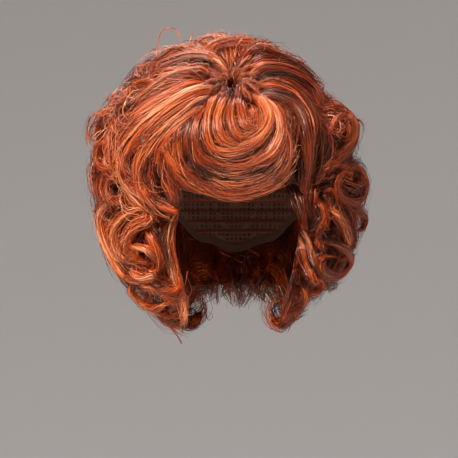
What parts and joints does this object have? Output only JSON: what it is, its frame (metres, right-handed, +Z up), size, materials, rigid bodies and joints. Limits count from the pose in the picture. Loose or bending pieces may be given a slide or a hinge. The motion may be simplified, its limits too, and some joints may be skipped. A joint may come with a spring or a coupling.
{
  "type": "short curly wig",
  "caption": "Short full wig with ring curls round the sides, back and nape and a swirled fringe, on a net cap open below for the head.",
  "frame": {"origin": "inner top of the cap, where the wig sits on the top of a head", "axes": "+Z up out of the top of the head, -Y out of the face opening, +X the wearer's left"},
  "size_m": [0.2889, 0.2769, 0.3093],
  "materials": {
    "cap_net": "open net, matt",
    "fringe_hair": "synthetic hair fibre, satin",
    "crown_hair": "synthetic hair fibre, satin",
    "side_hair_left": "synthetic hair fibre, satin",
    "side_hair_right": "synthetic hair fibre, satin",
    "back_hair": "synthetic hair fibre, satin",
    "nape_hair": "synthetic hair fibre, satin"
  },
  "bodies": {
    "root": {"wig_cap": "cap_net", "fringe": "fringe_hair", "crown_hair": "crown_hair", "side_hair_left": "side_hair_left", "side_hair_right": "side_hair_right", "back_hair": "back_hair", "nape_curls": "nape_hair"}
  },
  "joints": []
}
